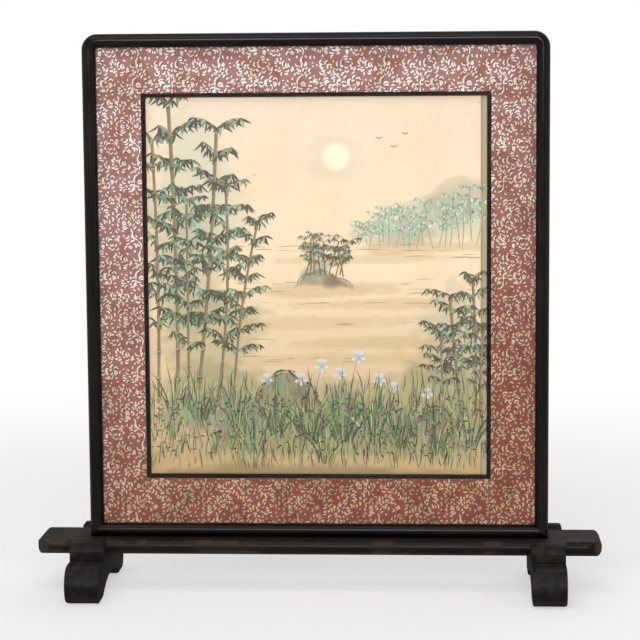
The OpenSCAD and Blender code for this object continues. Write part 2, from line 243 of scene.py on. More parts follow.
def lacquered_wood():
    """Grain under lacquer, with rubbed edges and a little dust. Edges weights the three pairs of
    axes that an edge may turn between: YZ, ZX and XY."""
    tree, given, result = start_group("lacquered_wood", Color=("Dark", "Light", "Rubbed", "Dust"),
                                      Vector=("Grain", "Edges"), Float=("Rub", "Dusty", "Rough"))
    facing = add(tree, "TexCoord").outputs["Normal"]
    along = stretch(tree, object_place(tree), given["Grain"])
    pores = mottle(tree, 9, 4, 0.65, place=along)
    figure = mottle(tree, 1.6, 3, distortion=0.6, place=along)
    cloud = mottle(tree, 38, 5)
    speck = mottle(tree, 420, 2)
    tone = times(tree, fade(tree, figure, 0.36, 0.68), fade(tree, cloud, 0.36, 0.64, 0.25))
    tone = plus(tree, tone, fade(tree, pores, 0.5, 0.8, 0, 0.35))
    x, y, z = add(tree, "SeparateXYZ", {0: stretch(tree, facing, facing)}).outputs
    pairs = add(tree, "CombineXYZ", {0: times(tree, y, z), 1: times(tree, z, x), 2: times(tree, x, y)})
    edge = add(tree, "VectorMath", {0: pairs.outputs[0], 1: given["Edges"]}, operation="DOT_PRODUCT")
    patchy = times(tree, edge.outputs["Value"], fade(tree, cloud, 0.42, 0.62, 0.6, 5.5))
    rub = times(tree, fade(tree, patchy, 0.25, 1.3), given["Rub"])
    upward = add(tree, "SeparateXYZ", {0: facing}).outputs["Z"]
    dust = times(tree, fade(tree, upward, 0.35, 1), fade(tree, speck, 0.45, 0.75, 0.15))
    dust = times(tree, dust, given["Dusty"])
    colour = blend(tree, tone, given["Dark"], given["Light"])
    colour = blend(tree, rub, colour, given["Rubbed"])
    colour = blend(tree, dust, colour, given["Dust"])
    rough = plus(tree, given["Rough"], fade(tree, cloud, 0.3, 0.7, -0.05, 0.07))
    rough = plus(tree, rough, times(tree, plus(tree, rub, dust), 0.35))
    give(tree, result, colour, rough, plus(tree, times(tree, pores, 0.7), times(tree, cloud, 0.6)))
    return tree


def start_material(name, shine=0.5, **finish):
    """A material, its node tree and its Principled shader. The finish names its sockets with _."""
    material = bpy.data.materials.new(name)
    material.use_nodes = True
    tree = material.node_tree
    shader = tree.nodes["Principled BSDF"]
    shader.inputs["Specular IOR Level"].default_value = shine
    for socket, value in finish.items():
        shader.inputs[socket.replace("_", " ")].default_value = value
    return material, tree, shader


def cover(tree, shader, colour, roughness, height, strength, depth):
    """Joins a surface's colour, roughness and relief to its shader."""
    bump = add(tree, "Bump", {"Height": height, "Strength": strength, "Distance": depth})
    give(tree, [shader.inputs[name] for name in ("Base Color", "Roughness", "Normal")],
         colour, roughness, bump.outputs[0])


def use_group(tree, shader, group, strength, depth, **values):
    """Puts a surface group in a material and joins its outputs to the shader."""
    surface = add(tree, "Group", node_tree=group)
    for name, value in values.items():
        surface.inputs[name].default_value = value
    cover(tree, shader, *surface.outputs, strength, depth)
    return surface


def lacquer(name, coat, grain, edges, rub, dusty, rough, shine, relief):
    """Thin hand-rubbed lacquer: its fine scratches dull it where it is seen edge on."""
    material, tree, shader = start_material(name, shine)
    dark, light, rubbed = coat
    surface = use_group(tree, shader, lacquered_surface, relief, pore_depth, Dark=dark, Light=light,
                        Rubbed=rubbed, Dust=dust_colour, Grain=grain, Edges=edges, Rub=rub, Dusty=dusty,
                        Rough=rough)
    edge_on = fade(tree, add(tree, "LayerWeight").outputs["Facing"], 0.35, 0.85, 0, 0.55)
    tree.links.new(plus(tree, surface.outputs["Roughness"], edge_on), shader.inputs["Roughness"])
    return material


def finish_nodes(material, *names):
    """Gives carried-over nodes their material."""
    for name in names:
        mesh = nodes[name].data
        if not mesh.materials:
            mesh.materials.append(material)
        for slot in nodes[name].material_slots:
            slot.material = material


lacquered_surface = lacquered_wood()
finish_nodes(lacquer("crossbar_lacquer", bar_coat, grain_along_x, edges=(1.2, 2.5, 2.5), rub=0.28, dusty=0.05,
                     rough=0.36, shine=0.09, relief=0.3), "crossbar")
finish_nodes(lacquer("foot_lacquer", foot_coat, grain_along_y, edges=(0, 3.5, 3.5), rub=0.28, dusty=0.04,
                     rough=0.42, shine=0.09, relief=0.3), "left_foot", "right_foot")


# Foot screws and corner nails: zinc-plated steel, a little dull. The locating pins are
# turned brass, the turn buttons stamped brass that has started to tarnish.
zinc_bright = (0.56, 0.56, 0.55, 1)
zinc_dull = (0.34, 0.34, 0.33, 1)
brass_bright = (0.66, 0.47, 0.2, 1)
brass_brown = (0.25, 0.15, 0.06, 1)
steel_grime = (0.1, 0.09, 0.08, 1)
scratch_strength = 0.15
scratch_depth = 0.00005


def handled_metal():
    """Bare metal with fine scratches, dull clouds and grime in specks."""
    tree, given, result = start_group("handled_metal", Color=("Bright", "Dull", "Grime"), Float=["Tarnish"])
    brushed = stretch(tree, object_place(tree), (900, 900, 5200))
    scratch = mottle(tree, 1, 3, place=brushed)
    cloud = mottle(tree, 260, 4)
    dull = times(tree, fade(tree, cloud, 0.34, 0.62), given["Tarnish"])
    grime = times(tree, fade(tree, cloud, 0.6, 0.78), given["Tarnish"])
    colour = blend(tree, dull, given["Bright"], given["Dull"])
    colour = blend(tree, grime, colour, given["Grime"])
    rough = plus(tree, fade(tree, scratch, 0.3, 0.7, 0.22, 0.36), times(tree, dull, 0.2))
    give(tree, result, colour, rough, scratch)
    return tree


def metal(name, bright, dull, tarnish):
    material, tree, shader = start_material(name, Metallic=1)
    use_group(tree, shader, metal_surface, scratch_strength, scratch_depth, Bright=bright, Dull=dull,
              Grime=steel_grime, Tarnish=tarnish)
    return material


metal_surface = handled_metal()
finish_nodes(metal("zinc_plate", zinc_bright, zinc_dull, tarnish=0.8),
             "foot_screws", "corner_nails", "turn_button_screws")
finish_nodes(metal("turned_brass", brass_bright, brass_brown, tarnish=0.35), "locating_pins")
finish_nodes(metal("stamped_brass", brass_bright, brass_brown, tarnish=0.9), "turn_button_upper_left",
             "turn_button_lower_left", "turn_button_upper_right", "turn_button_lower_right")


# The panel's moulding: four half-round rails of hard wood under black lacquer, mitred at
# the corners and rounded at the two upper ones. The bottom one is dulled by handling.
frame_coat = ((0.0018, 0.0009, 0.0006, 1), (0.0065, 0.0038, 0.0024, 1), (0.045, 0.028, 0.019, 1))
for name, grain, edges, rough, shine, lengths in (
        ("top_rail_lacquer", grain_along_x, (0.4, 2, 2), 0.14, 0.13, ["top_rail"]),
        ("bottom_rail_lacquer", grain_along_x, (0.4, 2, 2), 0.2, 0.1, ["bottom_rail"]),
        ("stile_lacquer", grain_along_z, (2, 2, 0.4), 0.14, 0.12, ["left_stile", "right_stile"])):
    finish_nodes(lacquer(name, frame_coat, grain, edges, rub=0.06, dusty=0.01, rough=rough, shine=shine,
                         relief=0.06), *lengths)


# The fillet: a thin double-beaded strip round the picture, in a dark red-brown lacquer
# that is glossier than the stand's, with bright lines along its two beads.
fillet_coat = ((0.009, 0.0038, 0.0022, 1), (0.03, 0.0125, 0.006, 1), (0.05, 0.03, 0.022, 1))
for grain, names in ((grain_along_x, ("fillet_top", "fillet_bottom")),
                     (grain_along_z, ("fillet_left", "fillet_right"))):
    finish_nodes(lacquer("fillet_lacquer_" + names[0], fillet_coat, grain, edges=(0.8, 0.8, 0.8), rub=0.03,
                         dusty=0, rough=0.2, shine=0.07, relief=0.03), *names)


# The brocade: a rose silk twill glued over the mat card. Its sprays of flowers, leaves and
# curls are woven in short curved pale floats that stand proud of dark strips set down and right
# of each: partly gilt thread, partly the float's painted shadow.
mm = 0.001
sheet_low, sheet_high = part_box("brocade_cover")
left, right, bottom, top = [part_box("fillet_" + side) for side in ("left", "right", "bottom", "top")]
cloth_thickness = 0.26 * mm
cloth_columns, cloth_rows = 24, 26
repeat_width = 58
repeat_height = 68
spray_columns = 4
spray_rows = 5
spray_floats = 650
speck_floats = 900
float_rise = 0.1
float_lift = 0.02
float_pitch = 1.02
speck_pitch = 1.6
vine_pitch = 0.7
# The dark strip under each float, set down and right of it: partly gilt thread, partly the float's painted
# shadow.
gilt_shadow_half_width = 0.665
gilt_shadow_step = Vector((0.3, -0.42))
twill_pitch = 0.42 * mm
weave_depth = 0.08 * mm
thread_clear = 0.005 * mm
loom_seed = 7
# Each silk's colour at the top and the foot of the mat, and its duller threads' in the same places.
# The change from top to foot is painted light and shade: paler above and to the left, darker and browner
# below.
ground_tones = ((0.34, 0.17, 0.165, 1), (0.22, 0.06, 0.038, 1), (0.24, 0.095, 0.075, 1),
                (0.155, 0.038, 0.02, 1))
float_tones = ((0.98, 0.88, 0.83, 1), (0.68, 0.45, 0.29, 1), (0.7, 0.53, 0.48, 1), (0.43, 0.24, 0.135, 1))
# The dark strips' tones: gilt thread darkened as the floats' painted shadow.
gilt_and_shadow_tones = ((0.155, 0.11, 0.085, 1), (0.105, 0.055, 0.034, 1), (0.12, 0.082, 0.06, 1),
              (0.08, 0.04, 0.024, 1))


def meet(across, up):
    """The point as far across as one point and as far up as another."""
    return Vector((across.x, 0, up.z))


window_low, window_high = meet(left[0], bottom[0]), meet(right[1], top[1])
picture_low, picture_high = meet(left[1], bottom[1]), meet(right[0], top[0])


def bow(tail, tip, bend):
    """A path from tail to tip that bows out to its left by bend times its length."""
    tail, tip = Vector(tail), Vector(tip)
    run = tip - tail
    pull = (tail + tip) / 2 + Vector((-run.y, run.x)) * bend * 2
    return lambda t: tail * (1 - t) ** 2 + pull * 2 * t * (1 - t) + tip * t ** 2


def lay_stroke(shape, path, half_width, rise=0, steps=4):
    """A strip that faces -Y, three points across: path(t) runs from tail to tip in X and Z as t
    goes from 0 to 1, half_width(t) is its half width there, and rise lifts its middle line."""
    rows = ([], [], [])
    for k in range(steps + 1):
        t = k / steps
        here, run = path(t), path(min(t + 0.03, 1)) - path(max(t - 0.03, 0))
        out = Vector((-run.y, run.x)).normalized() * half_width(t)
        for side, row in zip((-1, 0, 1), rows):
            x, z = here.x + side * out.x, here.y + side * out.y
            row.append(shape.verts.new((x, -rise * (1 - abs(side)), z)))
    for low, high in zip(rows, rows[1:]):
        for k in range(steps):
            shape.faces.new((low[k], low[k + 1], high[k + 1], high[k]))
    return rows[0] + rows[1] + rows[2]


def spoke(centre, angle, reach, squash=1):
    """The point at that angle and reach from a centre, with the height squashed."""
    return Vector(centre) + Vector((cos(angle), sin(angle) * squash)) * reach


class Loom:
    """Weaves one repeat of the design in millimetres, and keeps its floats apart."""

    def __init__(self, seed):
        self.tile = bmesh.new()
        self.hand = random.Random(seed)
        self.pick = self.hand.uniform
        self.laid = np.empty((0, 2))

    def float(self, spot, lie, half, bend, gap=float_pitch):
        """A spindle-shaped ridge of silk over a flat dark strip, gilt thread and painted shadow, where
        nothing lies too near.
        """
        line = bow(spoke(spot, lie, -half), spoke(spot, lie, half), bend)
        points = np.array([line(share)[:] for share in (0, 0.33, 0.67, 1)])
        repeat = np.array((repeat_width, repeat_height))
        away = np.abs(points[:, None] - self.laid) % repeat
        away = np.minimum(away, repeat - away)
        if (np.hypot(away[..., 0], away[..., 1]) < gap).any():
            return
        self.laid = np.vstack((self.laid, points))
        # Painted shadow: a dark strip, partly gilt thread, laid down and right of the float.
        gilt_shadow_strip = lay_stroke(self.tile, lambda t: line(t) + gilt_shadow_step, lambda t: gilt_shadow_half_width, steps=1)
        for face in {face for corner in gilt_shadow_strip for face in corner.link_faces}:
            face.material_index = 1
        widest = self.pick(0.85, 1.4) / 2
        ridge = lay_stroke(self.tile, line, lambda t: widest * sin(pi * (0.1 + 0.8 * t)) ** 0.5,
                           float_rise, steps=3)
        for corner in ridge:
            corner.co.y -= float_lift

    def spray(self, centre, kind):
        """Floats packed side by side round a centre, lying as petals, leaf ribs, curls or a fan."""
        turn, reach = self.pick(0, tau), self.pick(5.3, 7.2)
        for _ in range(spray_floats):
            angle, far = self.pick(0, tau), sqrt(self.hand.random())
            edge = reach * (1 + 0.22 * sin(2 * angle + turn) + 0.16 * sin(3 * angle - turn))
            lie, bend = {"flower": (angle + pi / 2, -0.3),
                         "leaf": (turn + copysign(0.75, sin(angle - turn)), 0.22),
                         "curl": (angle + pi / 2 + 1.2 * far, -0.38),
                         "fan": (turn + 0.5 * sin(2 * angle), 0.28)}[kind]
            self.float(spoke(centre, angle, far * edge, 0.85), lie + self.pick(-0.2, 0.2),
                       self.pick(0.8, 1.9), bend * self.pick(0.3, 1.6))

    def vine(self, start, finish, bend):
        """Floats laid end to end along a bow from one spray to the next."""
        line = bow(start, finish, bend)
        for k in range(8):
            low, high = line(k / 8), line((k + 0.9) / 8)
            run = high - low
            lie = atan2(run.y, run.x)
            self.float((low + high) / 2, lie, run.length / 2, 0.25 * (-1) ** k, vine_pitch)


def brocade_repeat():
    """One repeat of the woven design, in millimetres from its lower left corner."""
    loom = Loom(loom_seed)
    kinds = ["flower", "leaf", "curl", "fan"] * (spray_columns * spray_rows // 4)
    loom.hand.shuffle(kinds)
    centres = []
    for k in range(spray_columns * spray_rows):
        row, column = divmod(k, spray_columns)
        across = column + 0.5 * (row % 2) + loom.pick(0.3, 0.7)
        up = row + loom.pick(0.3, 0.7)
        centres.append(Vector((across * repeat_width / spray_columns, up * repeat_height / spray_rows)))
    for start, finish in zip(centres[::2], centres[5::2] + centres[:5:2]):
        loom.vine(start, finish, 0.24)
    for centre, kind in zip(centres, kinds):
        loom.spray(centre, kind)
    for _ in range(speck_floats):
        loom.float((loom.pick(0, repeat_width), loom.pick(0, repeat_height)),
                   loom.pick(0, tau), loom.pick(0.6, 1.2), loom.pick(-0.4, 0.4), speck_pitch)
    return into_mesh("brocade_repeat", loom.tile)


def cut_across(shape, spot, square, **how):
    """Cuts a whole bmesh by the plane through a spot."""
    bmesh.ops.bisect_plane(shape, geom=shape.verts[:] + shape.edges[:] + shape.faces[:], plane_co=spot,
                           plane_no=square, **how)


def trim(shape, low, high):
    """Cuts away what lies outside a box, across X and Z."""
    for square in (Vector((1, 0, 0)), Vector((0, 0, 1))):
        for edge, side in ((low, -1), (high, 1)):
            cut_across(shape, edge, square * side, dist=1e-8, clear_outer=True)


def woven_figures(front):
    """The floats on the four sides of the mat, cut off at the window and at the cloth's edge."""
    repeat = brocade_repeat()
    figures = bmesh.new()
    sides = ((sheet_low, meet(sheet_high, window_low)), (meet(sheet_low, window_high), sheet_high),
             (meet(sheet_low, window_low), meet(window_low, window_high)),
             (meet(window_high, window_low), meet(sheet_high, window_high)))
    wide, high = repeat_width * mm, repeat_height * mm
    for low, top in sides:
        strip = bmesh.new()
        for column in range(floor(low.x / wide) - 1, ceil(top.x / wide) + 1):
            for row in range(floor(low.z / high) - 1, ceil(top.z / high) + 1):
                before = len(strip.verts)
                strip.from_mesh(repeat)
                strip.verts.ensure_lookup_table()
                place = Matrix.Translation((column * wide, front, row * high)) @ Matrix.Scale(mm, 4)
                bmesh.ops.transform(strip, matrix=place, verts=strip.verts[before:])
        trim(strip, low, top)
        side = into_mesh("brocade_side", strip)
        figures.from_mesh(side)
        bpy.data.meshes.remove(side)
    bpy.data.meshes.remove(repeat)
    return figures


def upright_grid(low, high, front, columns, rows):
    """A grid as wide and high as a box, standing at front and facing -Y."""
    grid = bmesh.new()
    bmesh.ops.create_grid(grid, x_segments=columns, y_segments=rows, size=0.5)
    size = high - low
    middle = (low + high) / 2
    stand_up = Matrix.Rotation(pi / 2, 4, "X")
    bmesh.ops.transform(grid, matrix=Matrix.Translation((middle.x, front, middle.z)) @ stand_up
                        @ Matrix.Diagonal((size.x, size.z, 1, 1)), verts=grid.verts)
    return grid


def brocade_cloth_shape(front):
    """The cloth with its window, cut from a grid and given its thickness."""
    cloth = upright_grid(sheet_low, sheet_high, front, cloth_columns, cloth_rows)
    for edge in (window_low, window_high):
        for square in ((1, 0, 0), (0, 0, 1)):
            cut_across(cloth, edge, square, dist=1e-7)
    inside = [face for face in cloth.faces
              if window_low.x < face.calc_center_median().x < window_high.x
              and window_low.z < face.calc_center_median().z < window_high.z]
    bmesh.ops.delete(cloth, geom=inside, context="FACES")
    bmesh.ops.solidify(cloth, geom=cloth.faces[:], thickness=cloth_thickness)
    return cloth


def brocade_silk(name, tones, sheen, relief_strength):
    """Silk ribbed by its twill, with painted light and shade: paler towards the top and left of the mat,
    darker and browner towards its foot.
    """
    upper, lower, dull_upper, dull_lower = tones
    material, tree, shader = start_material(name, 0.25, Sheen_Weight=sheen, Sheen_Roughness=0.4)
    x, y, z = add(tree, "SeparateXYZ", {0: object_place(tree)}).outputs
    twill = reckon(tree, "SINE", times(tree, plus(tree, x, z), tau / twill_pitch))
    thread = reckon(tree, "SINE", times(tree, z, tau / (twill_pitch * 0.7)))
    weave = plus(tree, times(tree, twill, 0.6), times(tree, thread, 0.4))
    slub = mottle(tree, 900, 3)
    cloud = mottle(tree, 75, 3)
    # Painted light and shade: the colour runs from the shaded foot colour to the lit top colour, slanted so
    # that the left side is lit more.
    painted_light_slant = reckon(tree, "SUBTRACT", z, times(tree, x, 0.45))
    height = fade(tree, painted_light_slant, sheet_low.z, sheet_high.z)
    bright = blend(tree, height, lower, upper)
    dull = blend(tree, height, dull_lower, dull_upper)
    share = plus(tree, fade(tree, slub, 0.35, 0.7, 0, 0.3), fade(tree, cloud, 0.42, 0.6, 0, 0.7))
    share = plus(tree, share, fade(tree, weave, -0.4, 1, 0.2, 0))
    cover(tree, shader, blend(tree, share, bright, dull), fade(tree, slub, 0.3, 0.7, 0.5, 0.75),
          plus(tree, weave, times(tree, slub, 1.5)), relief_strength, weave_depth)
    return material


rose_ground = brocade_silk("brocade_ground", ground_tones, sheen=0.12, relief_strength=0.5)
pale_float = brocade_silk("brocade_float", float_tones, sheen=0.25, relief_strength=0.4)
# The dark strips under the floats: gilt thread and their painted shadow.
gilt_and_shadow = brocade_silk("brocade_gilt_and_shadow", gilt_and_shadow_tones, sheen=0.1, relief_strength=0.4)
cloth_front = sheet_high.y - cloth_thickness
brocade_cloth = make_object("brocade_cloth", brocade_cloth_shape(cloth_front), [rose_ground])
brocade_floats = make_object("brocade_floats", woven_figures(cloth_front - thread_clear),
                             [pale_float, gilt_and_shadow])
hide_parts("brocade_cover")
for piece in (brocade_cloth, brocade_floats):
    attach(piece, "panel")


# The picture board: stout card, faced with cream paper and edged with a narrow pale band
# that shows on the right. Soft washes in the paper: a far shore, mist over water and a bank.
board_low, board_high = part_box("picture_board")
board_middle = (board_low + board_high) / 2
board_columns, board_rows = 200, 224
face_half = 134
# The paper's ground darkens and browns from top to foot: partly a warm wash, partly painted shade as the
# light falls off downwards.
paper_top = np.array((0.79, 0.635, 0.5))
paper_middle = np.array((0.845, 0.655, 0.465))
paper_foot_wash_and_shade = np.array((0.49, 0.325, 0.16))
paper_aged = (0.93, 0.87, 0.78, 1)
paper_fibre = (0.94, 0.93, 0.9, 1)
band_pale = (0.43, 0.345, 0.235, 1)
band_tan = (0.33, 0.22, 0.12, 1)
band_line = 115.8
band_outer = 119.3
band_soft = 0.3 * mm
band_dark_share = 0.4
foxing = (0.4, 0.26, 0.14, 1)
board_tones = ((0.52, 0.46, 0.34, 1), (0.4, 0.33, 0.22, 1))
fibre_depth = 0.1 * mm
board_size = (board_high - board_low) / mm


def board_shape():
    """The board in place: a fine grid for its face, drawn back to its full thickness."""
    board = upright_grid(board_low, board_high, board_low.y, board_columns, board_rows)
    rim = [edge for edge in board.edges if edge.is_boundary]
    sides = bmesh.ops.extrude_edge_only(board, edges=rim)["geom"]
    corners = [part for part in sides if isinstance(part, bmesh.types.BMVert)]
    bmesh.ops.translate(board, vec=(0, board_high.y - board_low.y, 0), verts=corners)
    back = bmesh.ops.edgeloop_fill(board, edges=[edge for edge in board.edges if edge.is_boundary])["faces"]
    bmesh.ops.recalc_face_normals(board, faces=board.faces)
    for face in back + [part for part in sides if isinstance(part, bmesh.types.BMFace)]:
        face.material_index = 1
    return board


class Washes:
    """The colours of the paper's face, one for each point, washed over in turn."""

    def __init__(self, mesh):
        places = np.empty(len(mesh.vertices) * 3)
        mesh.vertices.foreach_get("co", places)
        places = places.reshape(-1, 3)
        self.u = (places[:, 0] - board_middle.x) / mm
        self.v = (places[:, 2] - board_middle.z) / mm
        self.broad, self.fine = [
            np.array([noise.noise(Vector((u / wide, v / high, layer))) for u, v in zip(self.u, self.v)])
            for wide, high, layer in ((38, 38, 0), (9, 5, 7))]
        # Darker and browner towards the foot: partly a warm wash, partly painted shade.
        height = np.clip((self.v + face_half) / (2 * face_half), 0, 1)[:, None]
        middle, top = np.clip(height / 0.55, 0, 1), np.clip((height - 0.55) / 0.45, 0, 1)
        lower = paper_foot_wash_and_shade + (paper_middle - paper_foot_wash_and_shade) * middle ** 0.8
        self.colours = lower + (paper_top - paper_middle) * top

    def lay(self, share, colour):
        """Turns the paper towards a colour, by each point's share."""
        self.colours += (np.array(colour) - self.colours) * np.clip(share, 0, 1)[:, None]

    def at(self, u, v):
        """The colour of the paper nearest to a place."""
        column = round((u / board_size.x + 0.5) * board_columns)
        row = round((v / board_size.z + 0.5) * board_rows)
        k = min(max(row, 0), board_rows) * (board_columns + 1) + min(max(column, 0), board_columns)
        return Vector(self.colours[k])

    def pool(self, centre, reach, colour, strength, turn=0, ragged=0.3, rim=0):
        """A pool of wash round a centre, ragged at its edge, with pigment settled in its rim."""
        u, v = self.u - centre[0], self.v - centre[1]
        along = (u * cos(turn) + v * sin(turn)) / reach[0]
        over = (v * cos(turn) - u * sin(turn)) / reach[1]
        far = np.hypot(along, over) + ragged * (self.broad + 0.6 * self.fine)
        share = np.clip((1.1 - far) / 0.5, 0, 1)
        share = share * share * (3 - 2 * share)
        self.lay(share * strength, colour)
        self.lay(np.exp(-((far - 0.92) / 0.07) ** 2) * rim, np.array(colour) * 0.6)

    def fill(self, outline, colour, strength, soft=2.5):
        """A wash inside an outline, soft at its edge and uneven."""
        inside = np.zeros(len(self.u), bool)
        nearest = np.full(len(self.u), 1e9)
        for (x0, z0), (x1, z1) in zip(outline, outline[1:] + outline[:1]):
            crosses = (z0 > self.v) != (z1 > self.v)
            reach = x0 + (self.v - z0) * (x1 - x0) / ((z1 - z0) or 1e-9)
            inside ^= crosses & (self.u < reach)
            run = np.array((x1 - x0, z1 - z0))
            t = np.clip(((self.u - x0) * run[0] + (self.v - z0) * run[1]) / (run @ run), 0, 1)
            nearest = np.minimum(nearest, np.hypot(self.u - x0 - t * run[0], self.v - z0 - t * run[1]))
        depth = np.where(inside, nearest, -nearest)
        share = np.clip(depth / soft + 0.5, 0, 1) * (1 + 0.5 * self.fine + 0.4 * self.broad)
        self.lay(share * strength, colour)


ink = (0.012, 0.011, 0.008)
deep_green = (0.028, 0.046, 0.025)
leaf_green = (0.1, 0.155, 0.066)
moss_green = (0.27, 0.28, 0.145)
teal = (0.145, 0.245, 0.19)
far_teal = (0.43, 0.51, 0.41)
ochre = (0.56, 0.39, 0.2)
umber = (0.15, 0.095, 0.055)
culm_brown = (0.205, 0.145, 0.08)
stone_wash = (0.3, 0.25, 0.17)
petal_blue = (0.3, 0.36, 0.44)
petal_pale = (0.66, 0.66, 0.6)
moon_paper = (0.92, 0.8, 0.64)
moon_place = (14, 92)
left_rock = [(-44, -84), (-40, -70), (-31, -62), (-20, -60), (-11, -66), (-2, -76), (4, -86)]
islet_rock = [(-14, 2), (-9, 9), (0, 12), (9, 10), (17, 6), (26, 0)]
right_rock = [(66, -108), (70, -94), (79, -86), (92, -88), (101, -97), (108, -108)]
# Each pool of wash has its middle, reach, colour and strength.
leafy_haze = (((-84, 62), (34, 54), far_teal, 0.4), ((-92, 16), (30, 46), teal, 0.34),
              ((-76, -34), (40, 30), moss_green, 0.45), ((98, -44), (26, 46), teal, 0.3))
mist = (((78, 28), (56, 4.5), ochre, 0.5), ((36, 20), (70, 3.5), ochre, 0.4),
        ((8, -2), (48, 6), ochre, 0.55), ((52, -12), (66, 4), ochre, 0.42),
        ((-18, -26), (80, 5), ochre, 0.4), ((44, -40), (70, 5), ochre, 0.5),
        ((10, -52), (84, 5), ochre, 0.42))
bank = (((-50, -86), (72, 30), moss_green, 0.62), ((74, -86), (60, 30), moss_green, 0.6),
        ((10, -108), (110, 26), moss_green, 0.7), ((-74, -92), (44, 16), teal, 0.4),
        ((40, -96), (46, 14), teal, 0.34), ((0, -132), (150, 15), ochre, 0.72),
        ((0, -140), (150, 12), umber, 0.45))


def wash_paper(washes):
    """A far shore in haze, a bare moon, bands of mist, an islet, a green bank and its rocks."""
    washes.pool((84, 46), (46, 17), far_teal, 0.5, 0.05, rim=0.1)
    washes.pool((52, 38), (34, 9), teal, 0.28, 0.02, rim=0.12)
    washes.pool((100, 60), (24, 16), teal, 0.35, 0.3, rim=0.12)
    washes.pool(moon_place, (26, 20), far_teal, 0.16, ragged=0.35)
    washes.pool(moon_place, (10.5, 10.5), moon_paper, 0.95, ragged=0)
    for pools, turn, ragged, rim in ((leafy_haze, 0.1, 0.5, 0.05), (mist, 0.02, 0.35, 0.1),
                                     (bank, 0, 0.4, 0.06)):
        for centre, reach, colour, strength in pools:
            washes.pool(centre, reach, colour, strength, turn, ragged, rim)
    for outline in (left_rock, islet_rock, right_rock):
        washes.fill(outline, stone_wash, 0.75)
        middle = np.mean(np.array(outline), axis=0)
        washes.pool((middle[0] - 5, middle[1] + 5), (14, 6), teal, 0.55, 0.3, 0.4)
        washes.pool((middle[0] + 6, middle[1] - 3), (8, 7), umber, 0.5, -0.3, 0.5)


